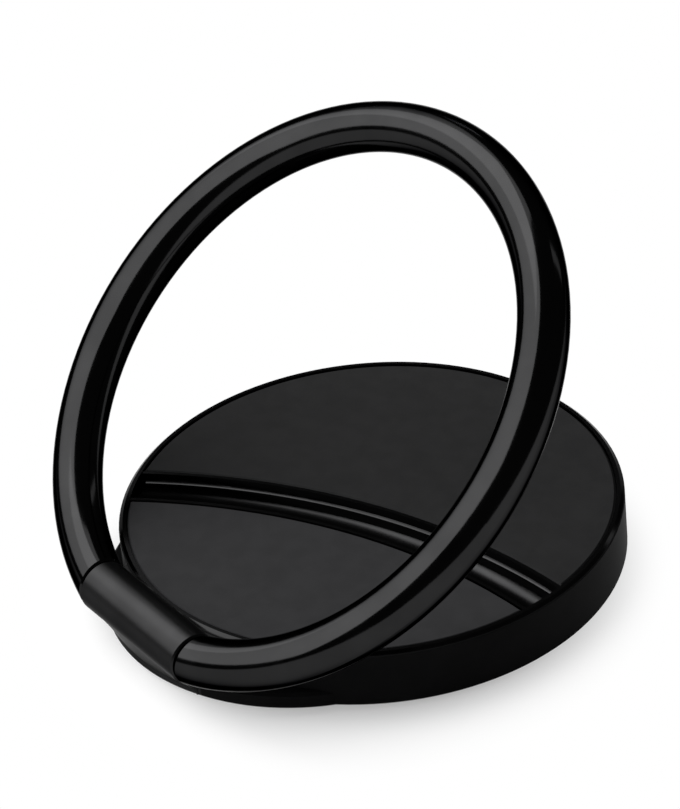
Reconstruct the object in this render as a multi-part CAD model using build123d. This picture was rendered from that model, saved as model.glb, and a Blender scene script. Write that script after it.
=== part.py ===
from build123d import *
import math
import os

# Phone ring holder: a round shell that turns on a stick-on plate, with a finger ring hinged at its edge.
# Millimetres, +Z up. The origin is the middle of the sticky underside.
# The hinge lies towards -Y and its pin runs along X.

# Shell
DISC_RADIUS = 22.0
RIM_HEIGHT = 5.7
RIM_BEVEL = 0.35
RIM_LIP = 0.7
SKIRT_WALL = 1.4
SKIRT_LIFT = 0.3
SKIRT_BEVEL = 0.25

# Face pads and the curved channel between them
PAD_THICKNESS = 0.8
PAD_DROP = 0.1
PAD_EDGE = 0.2
PAD_FIT = 0.05
CHANNEL_TURN = 24.0
CHANNEL_RADIUS = 56.0
CHANNEL_OFFSET = 2.5
CHANNEL_WIDTH = 4.4
CHANNEL_LIP = 0.35
CHANNEL_DEPTH = 0.9
CHANNEL_FOOT = 0.3

# Finger ring and hinge
TUBE_RADIUS = 2.2
FOLD_GAP = 0.3
KNUCKLE_LENGTH = 14.0
HINGE_HEIGHT = 4.4
PLINTH_SPREAD = 2.75
PLINTH_CURVE = 17.8
SEAM_GAP = 0.2
SEAM_BEVEL = 0.15
REST_ANGLE = 41.0
PIN_RADIUS = 0.8
PIN_GRIP = 2.4
PIN_END_GAP = 0.2
PIN_BEVEL = 0.2
PIN_FIT = 0.03
SEAT_FIT = 0.01
SLEEVE_WALL = 0.45
SLEEVE_INSET = 0.4
SLEEVE_SPACING = 1.2
SLEEVE_SLOT = 0.4

# Plate, washer and retaining ring that the shell turns on
TURN_GAP = 0.3
AXIAL_GAP = 0.1
ADHESIVE_THICKNESS = 0.6
ADHESIVE_INSET = 0.4
RETAINER_LIFT = 1.0
RETAINER_THICKNESS = 0.6
RETAINER_BITE = 0.4
RETAINER_WIDTH = 2.0
RETAINER_OPENING = 8.0
RETAINER_FIT = 0.05
FLANGE_THICKNESS = 1.3
PLATE_BEVEL = 0.2
SPIGOT_HEIGHT = 0.3
WASHER_THICKNESS = 0.2
WASHER_WIDTH = 3.0
WASHER_INSET = 1.5
WASHER_FIT = 0.1
WAVE_HEIGHT = 0.2
WAVE_COUNT = 3
WAVE_POINTS = 8

# Levels and radii that follow from the sizes above
lip_radius = DISC_RADIUS - RIM_LIP
cavity_radius = DISC_RADIUS - SKIRT_WALL
wall_middle = DISC_RADIUS - SKIRT_WALL / 2
groove_radius = cavity_radius + RETAINER_BITE
groove_top = RETAINER_LIFT + RETAINER_THICKNESS + 2 * RETAINER_FIT
retainer_base = RETAINER_LIFT + RETAINER_FIT
retainer_outer = groove_radius - RETAINER_FIT
retainer_inner = retainer_outer - RETAINER_WIDTH
boss_radius = retainer_inner - TURN_GAP
flange_radius = cavity_radius - TURN_GAP
flange_base = retainer_base + RETAINER_THICKNESS + AXIAL_GAP
flange_top = flange_base + FLANGE_THICKNESS
washer_outer = flange_radius - WASHER_INSET
washer_inner = washer_outer - WASHER_WIDTH
ceiling = flange_top + WAVE_HEIGHT + WASHER_THICKNESS + AXIAL_GAP
pad_top = RIM_HEIGHT - PAD_DROP
pad_floor = pad_top - PAD_THICKNESS
ring_radius = DISC_RADIUS + FOLD_GAP + TUBE_RADIUS
half_knuckle = KNUCKLE_LENGTH / 2
ring_end = half_knuckle + SEAM_GAP
hinge_reach = math.sqrt(ring_radius**2 - half_knuckle**2)
ring_inside = math.sqrt((ring_radius - TUBE_RADIUS) ** 2 - half_knuckle**2)
ring_outside = math.sqrt((ring_radius + TUBE_RADIUS) ** 2 - half_knuckle**2)
barrel_radius = (ring_outside - ring_inside) / 2
sleeve_inside = PIN_RADIUS + PIN_FIT
sleeve_outside = sleeve_inside + SLEEVE_WALL
sleeve_length = half_knuckle - SLEEVE_INSET - SLEEVE_SPACING / 2
half_root = half_knuckle - SEAM_BEVEL
plinth_offset = DISC_RADIUS + PLINTH_SPREAD - PLINTH_CURVE
plinth_top = HINGE_HEIGHT - TUBE_RADIUS - FOLD_GAP
root_foot = SKIRT_LIFT + SKIRT_BEVEL
root_curve = PLINTH_CURVE - SKIRT_BEVEL
root_spread = plinth_offset + root_curve - hinge_reach
root_rise = HINGE_HEIGHT - root_foot
root_turn = math.asin(barrel_radius / math.hypot(root_spread, root_rise))
root_lean = root_turn - math.atan2(root_spread, root_rise)
moon_edge = CHANNEL_RADIUS + CHANNEL_WIDTH / 2
lens_edge = CHANNEL_RADIUS - CHANNEL_WIDTH / 2

hinge_line = Axis((0, -hinge_reach, HINGE_HEIGHT), (1, 0, 0))
along_pin = Pos(0, -hinge_reach, HINGE_HEIGHT) * Rot(0, 90, 0)
channel_centre = Rot(0, 0, CHANNEL_TURN) * Pos(0, -(CHANNEL_RADIUS + CHANNEL_OFFSET), 0)


def turned(*points):
    """A solid turned about Z from its half section, given as (radius, height) points."""
    return revolve(Plane.XZ * make_face(Polyline(*points, close=True)), Axis.Z)


def upright(radius, low, high):
    """A cylinder about Z between two heights."""
    return Pos(0, 0, low) * Cylinder(radius, high - low, align=(Align.CENTER, Align.CENTER, Align.MIN))


def flat_ring(outer, inner, low, thickness):
    """A flat washer about Z, standing on a height."""
    return extrude(Pos(0, 0, low) * (Circle(outer) - Circle(inner)), thickness)


def root_section(level, front):
    """Level outline of the hinge root: its front edge, closed by straight sides behind it."""
    sides = Polyline(front @ 1, (half_root, 0), (-half_root, 0), front @ 0)
    return Pos(0, 0, level) * make_face([front.edge(), *sides.edges()])


def make_hinge():
    """Barrel with a neck to the rim, on a root that rises from the plinth below the folded ring."""
    barrel = Cylinder(barrel_radius, KNUCKLE_LENGTH)
    barrel = along_pin * chamfer(barrel.edges().filter_by(GeomType.CIRCLE), SEAM_BEVEL)
    neck_align = (Align.CENTER, Align.MIN, Align.MIN)
    neck = Box(2 * half_root, hinge_reach, RIM_HEIGHT - RIM_BEVEL - root_foot, align=neck_align)
    neck = Pos(0, -hinge_reach, root_foot) * neck
    plinth = Pos(0, -plinth_offset, 0) * upright(PLINTH_CURVE, SKIRT_LIFT, plinth_top)
    plinth = chamfer(plinth.edges().filter_by(GeomType.CIRCLE), SKIRT_BEVEL)

    foot_corner = -plinth_offset - math.sqrt(root_curve**2 - half_root**2)
    foot_middle = -plinth_offset - root_curve
    foot = ThreePointArc((-half_root, foot_corner), (0, foot_middle), (half_root, foot_corner))
    touch = -hinge_reach - barrel_radius * math.cos(root_lean)
    touch_height = HINGE_HEIGHT - barrel_radius * math.sin(root_lean)
    brow = Line((-half_root, touch), (half_root, touch))
    root = loft([root_section(root_foot, foot), root_section(touch_height, brow)], ruled=True)
    return barrel + neck + plinth + root


def make_shell():
    """Cast body: turned cup with its skirt, hinge, pad pockets and channel."""
    cup = turned(
        (0, ceiling),
        (cavity_radius, ceiling),
        (cavity_radius, groove_top),
        (groove_radius, groove_top),
        (groove_radius, RETAINER_LIFT),
        (cavity_radius, RETAINER_LIFT),
        (cavity_radius, SKIRT_LIFT),
        (DISC_RADIUS - SKIRT_BEVEL, SKIRT_LIFT),
        (DISC_RADIUS, SKIRT_LIFT + SKIRT_BEVEL),
        (DISC_RADIUS, RIM_HEIGHT - RIM_BEVEL),
        (DISC_RADIUS - RIM_BEVEL, RIM_HEIGHT),
        (0, RIM_HEIGHT),
    )
    body = cup + (make_hinge() - upright(wall_middle, 0, 2 * RIM_HEIGHT))
    body -= along_pin * Cylinder(sleeve_outside + SEAT_FIT, KNUCKLE_LENGTH)

    land = channel_centre * (Circle(moon_edge) - Circle(lens_edge))
    pockets = extrude(Pos(0, 0, pad_floor) * (Circle(lip_radius) - land), RIM_HEIGHT)
    recess = upright(lip_radius, pad_top, 2 * RIM_HEIGHT) + pockets
    band = channel_centre * (Circle(moon_edge - CHANNEL_LIP) - Circle(lens_edge + CHANNEL_LIP))
    channel = extrude(Pos(0, 0, pad_top - CHANNEL_DEPTH) * band, RIM_HEIGHT)
    channel = fillet(channel.edges().group_by(Axis.Z)[0], CHANNEL_FOOT)
    channel &= upright(lip_radius, 0, 2 * RIM_HEIGHT)
    return body - recess - channel


def make_pad(outline):
    """Face pad with its top edge broken."""
    pad = extrude(Pos(0, 0, pad_floor) * outline, PAD_THICKNESS)
    return chamfer(pad.edges().group_by(Axis.Z)[-1], PAD_EDGE)


def make_finger_ring():
    """Round ring in its folded place round the shell, opened for the barrel and drilled for the pin."""
    ring = Pos(0, 0, HINGE_HEIGHT) * Torus(ring_radius, TUBE_RADIUS)
    opening_align = (Align.CENTER, Align.MAX, Align.CENTER)
    ring -= Box(2 * ring_end, 2 * ring_radius, 2 * RIM_HEIGHT + 2 * HINGE_HEIGHT, align=opening_align)
    ends = ring.faces().filter_by(Axis.X)
    ring = chamfer(ends.edges(), SEAM_BEVEL)
    drill = Cylinder(PIN_RADIUS + SEAT_FIT, 2 * (ring_end + PIN_GRIP + PIN_END_GAP))
    return ring - along_pin * drill


def make_hinge_pin():
    """Straight pin with broken ends, reaching into both ends of the ring."""
    pin = Cylinder(PIN_RADIUS, 2 * (ring_end + PIN_GRIP))
    return along_pin * chamfer(pin.edges().filter_by(GeomType.CIRCLE), PIN_BEVEL)


def make_friction_sleeve(side):
    """Split spring sleeve at one end of the barrel, its slot facing down."""
    section = Circle(sleeve_outside) - Circle(sleeve_inside)
    section -= Pos(sleeve_outside, 0) * Rectangle(2 * sleeve_outside, SLEEVE_SLOT)
    middle = (SLEEVE_SPACING + sleeve_length) / 2
    return along_pin * Pos(0, 0, side * middle) * extrude(section, sleeve_length / 2, both=True)


def make_base_plate():
    """Turned plate: boss through the retaining ring, flange over it, spigot inside the washer."""
    spigot_radius = washer_inner - WASHER_FIT
    return turned(
        (0, ADHESIVE_THICKNESS),
        (boss_radius - PLATE_BEVEL, ADHESIVE_THICKNESS),
        (boss_radius, ADHESIVE_THICKNESS + PLATE_BEVEL),
        (boss_radius, flange_base),
        (flange_radius, flange_base),
        (flange_radius, flange_top - PLATE_BEVEL),
        (flange_radius - PLATE_BEVEL, flange_top),
        (spigot_radius, flange_top),
        (spigot_radius, flange_top + SPIGOT_HEIGHT),
        (0, flange_top + SPIGOT_HEIGHT),
    )


def wave_line(radius):
    """Closed line round Z that rises and falls by the wave's height."""
    steps = WAVE_COUNT * WAVE_POINTS
    points = []
    for step in range(steps):
        turn = 2 * math.pi * step / steps
        rise = WAVE_HEIGHT / 2 * (1 + math.sin(WAVE_COUNT * turn))
        points.append((radius * math.cos(turn), radius * math.sin(turn), flange_top + rise))
    return Edge.make_spline(points, periodic=True)


def make_wave_washer():
    """Thin spring washer whose waves stand on the plate's flange."""
    under = Face.make_surface_from_curves(wave_line(washer_inner), wave_line(washer_outer))
    return Solid.extrude(under, Vector(0, 0, WASHER_THICKNESS))


def make_retaining_ring():
    """Open spring ring seated in the skirt's groove, its gap on the side away from the hinge."""
    ring = flat_ring(retainer_outer, retainer_inner, retainer_base, RETAINER_THICKNESS)
    gap_align = (Align.CENTER, Align.MIN, Align.MIN)
    return ring - Box(RETAINER_OPENING, DISC_RADIUS, RIM_HEIGHT, align=gap_align)


def make_adhesive_pad():
    """Sticky pad under the plate, the face that meets the phone."""
    return upright(boss_radius - ADHESIVE_INSET, 0, ADHESIVE_THICKNESS)


pad_disc = Circle(lip_radius - PAD_FIT)
pieces = {
    "shell": make_shell(),
    "moon_pad": make_pad(pad_disc - channel_centre * Circle(moon_edge + PAD_FIT)),
    "lens_pad": make_pad(pad_disc & channel_centre * Circle(lens_edge - PAD_FIT)),
    "finger_ring": make_finger_ring().rotate(hinge_line, REST_ANGLE),
    "hinge_pin": make_hinge_pin(),
    "friction_sleeve_left": make_friction_sleeve(-1),
    "friction_sleeve_right": make_friction_sleeve(1),
    "base_plate": make_base_plate(),
    "wave_washer": make_wave_washer(),
    "retaining_ring": make_retaining_ring(),
    "adhesive_pad": make_adhesive_pad(),
}

os.makedirs("parts", exist_ok=True)
for node, solid in pieces.items():
    export_step(solid, f"parts/{node}.step")
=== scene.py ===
import math

import bpy
from mathutils import Matrix, Vector


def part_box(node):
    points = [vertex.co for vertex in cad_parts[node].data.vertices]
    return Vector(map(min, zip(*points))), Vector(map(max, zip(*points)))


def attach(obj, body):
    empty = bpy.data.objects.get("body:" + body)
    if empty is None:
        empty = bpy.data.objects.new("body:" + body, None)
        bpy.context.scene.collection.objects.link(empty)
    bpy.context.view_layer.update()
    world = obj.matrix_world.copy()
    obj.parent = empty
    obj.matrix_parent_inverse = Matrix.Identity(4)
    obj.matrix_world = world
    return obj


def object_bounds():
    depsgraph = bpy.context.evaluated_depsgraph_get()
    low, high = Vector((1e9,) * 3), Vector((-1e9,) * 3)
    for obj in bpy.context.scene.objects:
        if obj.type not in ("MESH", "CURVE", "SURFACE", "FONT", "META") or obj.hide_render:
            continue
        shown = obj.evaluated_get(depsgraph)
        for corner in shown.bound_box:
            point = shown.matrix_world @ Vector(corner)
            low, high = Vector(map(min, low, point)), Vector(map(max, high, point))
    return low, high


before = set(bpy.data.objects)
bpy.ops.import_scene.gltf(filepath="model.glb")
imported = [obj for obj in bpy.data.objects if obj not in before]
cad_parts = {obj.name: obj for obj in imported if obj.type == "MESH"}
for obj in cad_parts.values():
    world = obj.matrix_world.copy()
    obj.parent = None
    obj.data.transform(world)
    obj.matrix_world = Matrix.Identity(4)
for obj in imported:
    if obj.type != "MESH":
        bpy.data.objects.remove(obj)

cad_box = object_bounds()

# Lengths are in metres and angles in degrees, apart from the picture's pixels and the sensor's millimetres.
MM = 0.001

# Picture and camera
PICTURE_HEIGHT = 809
OBJECT_WIDTH = 575
SENSOR_SIZE = 36.0
VIEW_AZIMUTH = 57.5
VIEW_ELEVATION = 33.9
VIEW_ROLL = -5.65
VIEW_DISTANCE = 0.373
CLIP_SHARE = 0.01

# Studio
FLOOR_SIZE = 24.0
FLOOR_DROP = 0.02 * MM
FLOOR_TONE = 0.92
FLOOR_LIFT = 0.38
FLOOR_SHADE_PLACE = (1 * MM, -4 * MM, 0.0)
FLOOR_WHITE_FROM = 18 * MM
FLOOR_WHITE_AT = 28.5 * MM
ROOM_TONE = 0.05
SOFTBOX_DISTANCE = 1.3

# Places on the holder, read from the parts of model.glb where they give them
disc_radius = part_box("shell")[1].x
pad_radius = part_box("moon_pad")[1].y
pad_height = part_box("moon_pad")[1].z
KNUCKLE_HALF = 7.0 * MM
MASK_EDGE = 0.15 * MM
CRISP_ANGLE = 30

# Channel across the face: its curve, its flat floor and the hollow that lies on that floor
CHANNEL_TURN = 24
CHANNEL_RADIUS = 56 * MM
CHANNEL_OFFSET = 2.5 * MM
CHANNEL_DEPTH = 0.9 * MM
CHANNEL_FOOT = 0.3 * MM
CHANNEL_FLOOR_HALF = 1.55 * MM
CHANNEL_COLUMNS = 120
HOLLOW_CURVE = 11 * MM
HOLLOW_SHIFT = 1.4 * MM
HOLLOW_RISE_REACH = 0.28 * MM
HOLLOW_LIFT = 0.01 * MM
HOLLOW_ROWS = 24
HOLLOW_FOOT = 0.2 * MM
HOLLOW_FOOT_SLOPE = 70
HOLLOW_FOOT_ROWS = 10

# Bright black plating of the ring, the channel, the rim and the hinge
PLATING_TONES = ((0.0210, 0.0210, 0.0213), (0.0250, 0.0250, 0.0254))
RING_EDGE = (0.30, 0.30, 0.30, 1.0)
RING_ROUGHNESS = (0.11, 0.14)
RING_TOUCH = 7 * MM
RING_WAVE = 0.9 * MM
RING_WAVE_DEPTH = 0.0015 * MM
SHELL_EDGE = (0.45, 0.45, 0.45, 1.0)
SHELL_TOUCH = 6 * MM
FACE_ROUGHNESS = 0.14
HINGE_ROUGHNESS = 0.34

# Satin black of the shell's wall
SATIN_TONES = ((0.0058, 0.0058, 0.0060), (0.0076, 0.0076, 0.0078))
SATIN_GLOSS = 0.015
SATIN_ROUGHNESS = 0.5
SATIN_GRAIN = 0.09 * MM
SATIN_GRAIN_DEPTH = 0.002 * MM

# Matte coat of the face pads; the lens pad's tones are set lighter than the moon pad's as painted light, for
# the sheen it catches
MOON_TONES = ((0.0142, 0.0142, 0.0145), (0.0164, 0.0164, 0.0167))
LENS_TONES_PAINTED_LIGHT = ((0.0218, 0.0218, 0.0228), (0.0246, 0.0246, 0.0257))
PAD_GLOSS = 0.05
PAD_ROUGHNESS = (0.58, 0.66)
PAD_TOUCH = 9 * MM
PAD_GRAIN = 0.12 * MM
PAD_GRAIN_DEPTH = 0.006 * MM

# Spring steel
STEEL_TONES = ((0.42, 0.42, 0.43), (0.56, 0.56, 0.57))
STEEL_ROUGHNESS = (0.26, 0.4)
STEEL_LINES = 0.06 * MM
STEEL_LINE_DEPTH = 0.002 * MM

# Anodised plate
PLATE_TONES = ((0.018, 0.018, 0.019), (0.032, 0.032, 0.034))
PLATE_METAL = 0.6
PLATE_GLOSS = 0.4
PLATE_ROUGHNESS = (0.36, 0.48)
PLATE_LINES = 0.12 * MM
PLATE_LINE_DEPTH = 0.003 * MM

# Foam of the sticky pad
FOAM_TONES = ((0.028, 0.028, 0.030), (0.045, 0.045, 0.048))
FOAM_GLOSS = 0.4
FOAM_ROUGHNESS = (0.32, 0.55)
FOAM_GRAIN = 0.3 * MM
FOAM_GRAIN_DEPTH = 0.02 * MM

# Noise levels between which touch marks and clouds of tone come up, and the grains across a cloud
TOUCH_LEVELS = (0.35, 0.7)
CLOUD_LEVELS = (0.3, 0.7)
CLOUD_GRAINS = 14.0

# Places of the colour sockets on a mix node
MIX_FIRST_COLOUR = 6
MIX_SECOND_COLOUR = 7
MIX_COLOUR = 2

# Directions in which a distance is counted
ACROSS_Z = (1, 1, 0)
ALONG_X = (1, 0, 0)


def put(tree, kind, inputs=None, **options):
    """Adds a node, sets its options, and sets or links its inputs by name or place."""
    node = tree.nodes.new(kind)
    for option, value in options.items():
        setattr(node, option, value)
    for socket, value in (inputs or {}).items():
        if isinstance(value, bpy.types.NodeSocket):
            tree.links.new(value, node.inputs[socket])
        else:
            node.inputs[socket].default_value = value
    return node


def labelled(values):
    """The same values under socket labels, which have a space for each underscore."""
    return {name.replace("_", " "): value for name, value in values.items()}


def calculate(tree, operation, *values):
    """A value worked out from values or sockets."""
    return put(tree, "ShaderNodeMath", dict(enumerate(values)), operation=operation).outputs[0]


def ramp(tree, value, start, end, low=0.0, high=1.0):
    """A value carried smoothly from low at start to high at end."""
    inputs = {"Value": value, "From Min": start, "From Max": end, "To Min": low, "To Max": high}
    return put(tree, "ShaderNodeMapRange", inputs, interpolation_type="SMOOTHSTEP").outputs["Result"]


def between(tree, amount, low, high):
    """A value carried smoothly from low to high by an amount from 0 to 1."""
    return ramp(tree, amount, 0.0, 1.0, low, high)


def blend(tree, amount, first, second):
    """A colour carried from the first to the second, each a tone or a socket, by an amount."""
    inputs = {0: amount}
    for place, colour in ((MIX_FIRST_COLOUR, first), (MIX_SECOND_COLOUR, second)):
        inputs[place] = (*colour, 1.0) if isinstance(colour, tuple) else colour
    return put(tree, "ShaderNodeMix", inputs, data_type="RGBA").outputs[MIX_COLOUR]


def noise(tree, place, size, detail=2.0, roughness=0.5):
    """Noise from 0 to 1 whose cells have the given size."""
    scale = calculate(tree, "DIVIDE", 1.0, size)
    inputs = {"Vector": place, "Scale": scale, "Detail": detail, "Roughness": roughness}
    return put(tree, "ShaderNodeTexNoise", inputs).outputs["Fac"]


def distance_in(tree, place, directions):
    """Distance from the origin, counted only in the directions that hold a 1."""
    flat = put(tree, "ShaderNodeVectorMath", {0: place, 1: directions}, operation="MULTIPLY").outputs["Vector"]
    return put(tree, "ShaderNodeVectorMath", {0: flat}, operation="LENGTH").outputs["Value"]


def new_group(name, inputs, outputs):
    """An empty shader group with its sockets, given as (label, kind) pairs, and its two ends."""
    group = bpy.data.node_groups.new(name, "ShaderNodeTree")
    for label, kind in inputs:
        group.interface.new_socket(label, in_out="INPUT", socket_type=f"NodeSocket{kind}")
    for label, kind in outputs:
        group.interface.new_socket(label, in_out="OUTPUT", socket_type=f"NodeSocket{kind}")
    return group, put(group, "NodeGroupInput").outputs, put(group, "NodeGroupOutput").inputs


def paint_flow_group():
    """Faint waves that a sprayed gloss coat dries with."""
    sockets = [("Place", "Vector"), ("Wave Size", "Float")]
    group, given, made = new_group("paint_flow", sockets, [("Height", "Float")])
    height = noise(group, given["Place"], given["Wave Size"], detail=1.0)
    group.links.new(height, made["Height"])
    return group


def touch_marks_group():
    """Broad soft patches left by handling."""
    sockets = [("Place", "Vector"), ("Patch Size", "Float")]
    group, given, made = new_group("touch_marks", sockets, [("Marks", "Float")])
    patches = noise(group, given["Place"], given["Patch Size"], detail=3.0, roughness=0.6)
    group.links.new(ramp(group, patches, *TOUCH_LEVELS), made["Marks"])
    return group


def fine_grain_group():
    """Fine pebbled grain of a matte coat, with a slight change of tone."""
    sockets = [("Place", "Vector"), ("Grain Size", "Float")]
    group, given, made = new_group("fine_grain", sockets, [("Height", "Float"), ("Tone", "Float")])
    scale = calculate(group, "DIVIDE", 1.0, given["Grain Size"])
    inputs = {"Vector": given["Place"], "Scale": scale}
    cells = put(group, "ShaderNodeTexVoronoi", inputs, feature="SMOOTH_F1")
    group.links.new(calculate(group, "SUBTRACT", 1.0, cells.outputs["Distance"]), made["Height"])
    cloud_size = calculate(group, "MULTIPLY", given["Grain Size"], CLOUD_GRAINS)
    clouds = noise(group, given["Place"], cloud_size, detail=3.0)
    group.links.new(ramp(group, clouds, *CLOUD_LEVELS), made["Tone"])
    return group


def tool_lines_group():
    """Fine lines that a cutting tool or a brush leaves across a direction."""
    sockets = [("Across", "Float"), ("Pitch", "Float")]
    group, given, made = new_group("tool_lines", sockets, [("Height", "Float")])
    step = calculate(group, "DIVIDE", given["Across"], given["Pitch"])
    inputs = {"W": step, "Scale": 1.0, "Detail": 3.0}
    lines = put(group, "ShaderNodeTexNoise", inputs, noise_dimensions="1D")
    group.links.new(lines.outputs["Fac"], made["Height"])
    return group


paint_flow = paint_flow_group()
touch_marks = touch_marks_group()
fine_grain = fine_grain_group()
tool_lines = tool_lines_group()


def use(tree, group, **inputs):
    """The outputs of a shared group placed in a material with its own values."""
    return put(tree, "ShaderNodeGroup", labelled(inputs), node_tree=group).outputs


def new_material(name, **constants):
    """A material, its nodes, its shader with plain values by socket name, and its place coordinates."""
    material = bpy.data.materials.new(name)
    material.use_nodes = True
    tree = material.node_tree
    tree.nodes.clear()
    shader = put(tree, "ShaderNodeBsdfPrincipled", labelled(constants))
    put(tree, "ShaderNodeOutputMaterial", {"Surface": shader.outputs["BSDF"]})
    place = put(tree, "ShaderNodeTexCoord").outputs["Object"]
    return material, tree, shader, place


def tint(tree, shader, amount, tones):
    """Links the base colour between two tones by an amount."""
    tree.links.new(blend(tree, amount, *tones), shader.inputs["Base Color"])


def roughen(tree, shader, amount, low, high):
    """Links the roughness, carried from low to high by an amount."""
    tree.links.new(between(tree, amount, low, high), shader.inputs["Roughness"])


def dent(tree, shader, height, depth):
    """Links a bump of the given depth to the shader."""
    bump = put(tree, "ShaderNodeBump", {"Height": height, "Distance": depth, "Strength": 1.0})
    tree.links.new(bump.outputs["Normal"], shader.inputs["Normal"])


def ring_finish():
    """Gloss black plating of the finger ring."""
    material, tree, shader, place = new_material("ring_plating", Metallic=1.0, Specular_Tint=RING_EDGE)
    marks = use(tree, touch_marks, Place=place, Patch_Size=RING_TOUCH)["Marks"]
    tint(tree, shader, marks, PLATING_TONES)
    roughen(tree, shader, marks, *RING_ROUGHNESS)
    dent(tree, shader, use(tree, paint_flow, Place=place, Wave_Size=RING_WAVE)["Height"], RING_WAVE_DEPTH)
    return material


def shell_finish():
    """Satin black of the cast shell, plated bright black in the channel, on the rim and on the hinge."""
    constants = {"Specular_IOR_Level": SATIN_GLOSS, "Specular_Tint": SHELL_EDGE}
    material, tree, shader, place = new_material("shell_black", **constants)
    radius = distance_in(tree, place, ACROSS_Z)
    face = ramp(tree, radius, disc_radius - MASK_EDGE, disc_radius, 1.0, 0.0)
    along_pin = distance_in(tree, place, ALONG_X)
    knuckle = ramp(tree, along_pin, KNUCKLE_HALF, KNUCKLE_HALF + MASK_EDGE, 1.0, 0.0)
    outside = ramp(tree, radius, disc_radius, disc_radius + MASK_EDGE)
    hinge = calculate(tree, "MULTIPLY", knuckle, outside)
    plated = calculate(tree, "MAXIMUM", face, hinge)
    tree.links.new(plated, shader.inputs["Metallic"])
    marks = use(tree, touch_marks, Place=place, Patch_Size=SHELL_TOUCH)["Marks"]
    satin = blend(tree, marks, *SATIN_TONES)
    bright = blend(tree, marks, *PLATING_TONES)
    tree.links.new(blend(tree, plated, satin, bright), shader.inputs["Base Color"])
    polish = between(tree, hinge, FACE_ROUGHNESS, HINGE_ROUGHNESS)
    roughen(tree, shader, plated, SATIN_ROUGHNESS, polish)
    grain = use(tree, fine_grain, Place=place, Grain_Size=SATIN_GRAIN)["Height"]
    bare = between(tree, plated, 1.0, 0.0)
    dent(tree, shader, calculate(tree, "MULTIPLY", grain, bare), SATIN_GRAIN_DEPTH)
    return material


def pad_finish(name, tones):
    """Soft matte coat of a face pad, in the tones given; the lens pad's lighter tones are painted light."""
    material, tree, shader, place = new_material(name, Specular_IOR_Level=PAD_GLOSS)
    grain = use(tree, fine_grain, Place=place, Grain_Size=PAD_GRAIN)
    tint(tree, shader, grain["Tone"], tones)
    marks = use(tree, touch_marks, Place=place, Patch_Size=PAD_TOUCH)["Marks"]
    roughen(tree, shader, marks, *PAD_ROUGHNESS)
    dent(tree, shader, grain["Height"], PAD_GRAIN_DEPTH)
    return material


def steel_finish():
    """Brushed spring steel of the pin, sleeves, washer and retaining ring."""
    material, tree, shader, place = new_material("spring_steel", Metallic=1.0)
    across = put(tree, "ShaderNodeSeparateXYZ", {"Vector": place}).outputs["X"]
    lines = use(tree, tool_lines, Across=across, Pitch=STEEL_LINES)["Height"]
    tint(tree, shader, lines, STEEL_TONES)
    roughen(tree, shader, lines, *STEEL_ROUGHNESS)
    dent(tree, shader, lines, STEEL_LINE_DEPTH)
    return material


def plate_finish():
    """Black anodised plate with the rings of its turning."""
    constants = {"Metallic": PLATE_METAL, "Specular_IOR_Level": PLATE_GLOSS}
    material, tree, shader, place = new_material("anodised_plate", **constants)
    radius = distance_in(tree, place, ACROSS_Z)
    lines = use(tree, tool_lines, Across=radius, Pitch=PLATE_LINES)["Height"]
    tint(tree, shader, lines, PLATE_TONES)
    roughen(tree, shader, lines, *PLATE_ROUGHNESS)
    dent(tree, shader, lines, PLATE_LINE_DEPTH)
    return material


def adhesive_finish():
    """Dark acrylic foam of the sticky pad."""
    material, tree, shader, place = new_material("adhesive_foam", Specular_IOR_Level=FOAM_GLOSS)
    grain = use(tree, fine_grain, Place=place, Grain_Size=FOAM_GRAIN)
    tint(tree, shader, grain["Tone"], FOAM_TONES)
    roughen(tree, shader, grain["Height"], *FOAM_ROUGHNESS)
    dent(tree, shader, grain["Height"], FOAM_GRAIN_DEPTH)
    return material


def finish_nodes():
    """Gives each piece of the holder its finish, and returns the finishes by piece."""
    steel = steel_finish()
    finishes = {
        "shell": shell_finish(),
        "moon_pad": pad_finish("moon_pad_coat", MOON_TONES),
        # the lens pad has the moon pad's coat, with lighter tones painted in as painted light
        "lens_pad": pad_finish("lens_pad_coat_painted_light", LENS_TONES_PAINTED_LIGHT),
        "finger_ring": ring_finish(),
        "hinge_pin": steel,
        "friction_sleeve_left": steel,
        "friction_sleeve_right": steel,
        "base_plate": plate_finish(),
        "wave_washer": steel,
        "retaining_ring": steel,
        "adhesive_pad": adhesive_finish(),
    }
    for node, material in finishes.items():
        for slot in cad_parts[node].material_slots:
            slot.material = material
    return finishes


def even_shading():
    """Shades the shell evenly over its narrow faces and keeps its edges crisp."""
    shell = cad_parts["shell"]
    crisp = shell.modifiers.new("crisp_edges", "EDGE_SPLIT")
    crisp.split_angle = math.radians(CRISP_ANGLE)
    shell.modifiers.new("even_shading", "WEIGHTED_NORMAL")


def hollow_line():
    """Upper line of the hollow's section, as (radius, rise) points from the lens pad to the moon pad."""
    lowest = CHANNEL_RADIUS + HOLLOW_SHIFT
    start = CHANNEL_RADIUS - CHANNEL_FLOOR_HALF - HOLLOW_RISE_REACH
    end = CHANNEL_RADIUS + CHANNEL_FLOOR_HALF
    line = []
    for step in range(HOLLOW_ROWS + 1):
        radius = start + (end - start) * step / HOLLOW_ROWS
        line.append((radius, HOLLOW_CURVE - math.sqrt(HOLLOW_CURVE**2 - (radius - lowest) ** 2)))

    end_rise = line[-1][1]
    flat = math.asin((end - lowest) / HOLLOW_CURVE)
    steep = math.radians(HOLLOW_FOOT_SLOPE)
    for step in range(1, HOLLOW_FOOT_ROWS + 1):
        slope = flat + (steep - flat) * step / HOLLOW_FOOT_ROWS
        across = HOLLOW_FOOT * (math.sin(slope) - math.sin(flat))
        rise = HOLLOW_FOOT * (math.cos(flat) - math.cos(slope))
        line.append((end + across, end_rise + rise))
    return line


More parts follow.
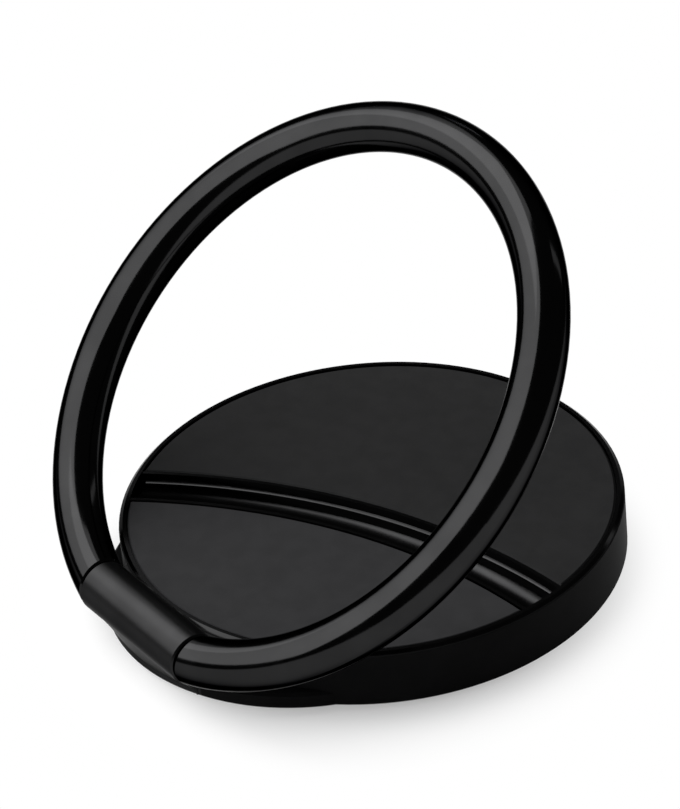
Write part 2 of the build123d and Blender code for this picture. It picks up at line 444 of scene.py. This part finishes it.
def hollow_outline():
    """Closed section of the hollow, as (radius, height) points: its upper line, then its underside."""
    floor = pad_height - CHANNEL_DEPTH + HOLLOW_LIFT
    upper = []
    under = []
    for radius, rise in hollow_line():
        past_floor = max(abs(radius - CHANNEL_RADIUS) - CHANNEL_FLOOR_HALF, 0.0)
        foot = CHANNEL_FOOT - math.sqrt(CHANNEL_FOOT**2 - past_floor**2)
        upper.append((radius, floor + HOLLOW_LIFT + rise))
        under.append((radius, floor + foot))
    return upper + under[::-1]


def add_channel_hollow(material):
    """Hollow floor of the channel: its section carried along the channel's curve from rim to rim."""
    turn = math.radians(CHANNEL_TURN)
    away = CHANNEL_RADIUS + CHANNEL_OFFSET
    centre = Vector((math.sin(turn), -math.cos(turn), 0.0)) * away
    outline = hollow_outline()
    count = len(outline)
    upper_faces = count // 2 - 1
    corners = []
    for column in range(CHANNEL_COLUMNS + 1):
        share = 2 * column / CHANNEL_COLUMNS - 1
        for radius, height in outline:
            half_turn = math.acos((away**2 + radius**2 - pad_radius**2) / (2 * away * radius))
            angle = turn + half_turn * share
            corners.append(centre + Vector((-math.sin(angle) * radius, math.cos(angle) * radius, height)))

    faces = []
    smooth = []
    for column in range(CHANNEL_COLUMNS):
        here = column * count
        there = here + count
        for spot in range(count):
            beside = (spot + 1) % count
            faces.append((here + spot, here + beside, there + beside, there + spot))
            smooth.append(spot < upper_faces)
    last_column = CHANNEL_COLUMNS * count
    for row in range(upper_faces):
        cap = (row, row + 1, count - 2 - row, count - 1 - row)
        faces.append(cap[::-1])
        faces.append([last_column + spot for spot in cap])
        smooth += [False, False]

    mesh = bpy.data.meshes.new("channel_hollow")
    mesh.from_pydata(corners, [], faces)
    mesh.polygons.foreach_set("use_smooth", smooth)
    mesh.materials.append(material)
    hollow = bpy.data.objects.new("channel_hollow", mesh)
    bpy.context.scene.collection.objects.link(hollow)
    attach(hollow, "disc")


def camera_axes():
    """The camera's right, up and back directions, with its roll."""
    azimuth = math.radians(VIEW_AZIMUTH)
    elevation = math.radians(VIEW_ELEVATION)
    level = Vector((math.cos(azimuth), math.sin(azimuth), 0.0))
    ground = Vector((math.sin(azimuth), -math.cos(azimuth), 0.0))
    back = ground * math.cos(elevation) + Vector((0.0, 0.0, math.sin(elevation)))
    roll = Matrix.Rotation(math.radians(VIEW_ROLL), 3, back)
    return roll @ level, roll @ back.cross(level), back


def set_camera():
    """Puts the camera at the viewing angle, with the holder in the middle of the picture."""
    right, up, back = camera_axes()
    middle = (cad_box[0] + cad_box[1]) / 2

    def spread(direction):
        """Lowest and highest slope at which the holder is seen along a direction of the picture."""
        slopes = []
        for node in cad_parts.values():
            for vertex in node.data.vertices:
                offset = vertex.co - middle
                slopes.append(offset.dot(direction) / (VIEW_DISTANCE - offset.dot(back)))
        return min(slopes), max(slopes)

    left_edge, right_edge = spread(right)
    low_edge, high_edge = spread(up)
    aim = middle + (right * (left_edge + right_edge) + up * (low_edge + high_edge)) * VIEW_DISTANCE / 2
    data = bpy.data.cameras.new("camera")
    data.sensor_width = SENSOR_SIZE
    data.lens = SENSOR_SIZE / PICTURE_HEIGHT * OBJECT_WIDTH / (right_edge - left_edge)
    data.clip_start = VIEW_DISTANCE * CLIP_SHARE
    camera = bpy.data.objects.new("camera", data)
    facing = Matrix((right, up, back)).transposed().to_4x4()
    camera.matrix_world = Matrix.Translation(aim + back * VIEW_DISTANCE) @ facing
    bpy.context.scene.collection.objects.link(camera)
    bpy.context.scene.camera = camera


def add_softbox(name, bearing, elevation, width, height, brightness):
    """A soft lamp facing the holder. Bearing 0 is beyond the holder, seen from the camera, 90 to its right."""
    turn = math.radians(VIEW_AZIMUTH - bearing)
    rise = math.radians(elevation)
    away = Vector((-math.sin(turn) * math.cos(rise), math.cos(turn) * math.cos(rise), math.sin(rise)))
    lamp = bpy.data.lights.new(name, "AREA")
    lamp.shape = "RECTANGLE"
    lamp.size = width
    lamp.size_y = height
    lamp.energy = brightness * math.pi * width * height
    softbox = bpy.data.objects.new(name, lamp)
    softbox.location = away * SOFTBOX_DISTANCE
    softbox.rotation_euler = away.to_track_quat("Z", "Y").to_euler()
    softbox.visible_camera = False
    bpy.context.scene.collection.objects.link(softbox)


def floor_material():
    """Pale paper that runs into plain white away from the holder, where it is seen or mirrored."""
    material = bpy.data.materials.new("pale_floor")
    material.use_nodes = True
    tree = material.node_tree
    tree.nodes.clear()
    paper = put(tree, "ShaderNodeBsdfDiffuse", {"Color": (FLOOR_TONE, FLOOR_TONE, FLOOR_TONE, 1.0)})
    white = put(tree, "ShaderNodeEmission", {"Color": (1.0, 1.0, 1.0, 1.0), "Strength": 1.0})
    place = put(tree, "ShaderNodeTexCoord").outputs["Object"]
    offset = put(tree, "ShaderNodeVectorMath", {0: place, 1: FLOOR_SHADE_PLACE}, operation="SUBTRACT")
    reach = distance_in(tree, offset.outputs["Vector"], ACROSS_Z)
    white_share = ramp(tree, reach, FLOOR_WHITE_FROM, FLOOR_WHITE_AT, FLOOR_LIFT, 1.0)
    path = put(tree, "ShaderNodeLightPath").outputs
    mirrored = calculate(tree, "MAXIMUM", path["Is Glossy Ray"], path["Is Transmission Ray"])
    seen = calculate(tree, "MAXIMUM", path["Is Camera Ray"], mirrored)
    share = calculate(tree, "MULTIPLY", white_share, seen)
    mix = put(tree, "ShaderNodeMixShader", {0: share, 1: paper.outputs["BSDF"], 2: white.outputs["Emission"]})
    put(tree, "ShaderNodeOutputMaterial", {"Surface": mix.outputs["Shader"]})
    return material


def add_floor():
    """Pale floor that keeps the holder's shadow."""
    half = FLOOR_SIZE / 2
    mesh = bpy.data.meshes.new("floor")
    corners = [(x, y, -FLOOR_DROP) for x, y in ((-half, -half), (half, -half), (half, half), (-half, half))]
    mesh.from_pydata(corners, [], [range(4)])
    mesh.materials.append(floor_material())
    floor = bpy.data.objects.new("floor", mesh)
    bpy.context.scene.collection.objects.link(floor)


def set_room():
    """Dim room round the softboxes."""
    world = bpy.data.worlds.new("room")
    world.use_nodes = True
    tree = world.node_tree
    tree.nodes.clear()
    dim = put(tree, "ShaderNodeBackground", {"Color": (ROOM_TONE, ROOM_TONE, ROOM_TONE, 1.0)})
    put(tree, "ShaderNodeOutputWorld", {"Surface": dim.outputs["Background"]})
    bpy.context.scene.world = world
    bpy.context.scene.view_settings.view_transform = "Standard"


finishes = finish_nodes()
even_shading()
add_channel_hollow(finishes["shell"])
set_camera()
add_floor()
set_room()
add_softbox("key_softbox", bearing=-80, elevation=47, width=2.2, height=1.7, brightness=3.1)
add_softbox("back_softbox", bearing=-31, elevation=50, width=1.0, height=1.2, brightness=1.7)
add_softbox("side_strip", bearing=62, elevation=25, width=0.12, height=0.6, brightness=1.0)
add_softbox("far_strip", bearing=6, elevation=26, width=0.22, height=0.15, brightness=5.6)
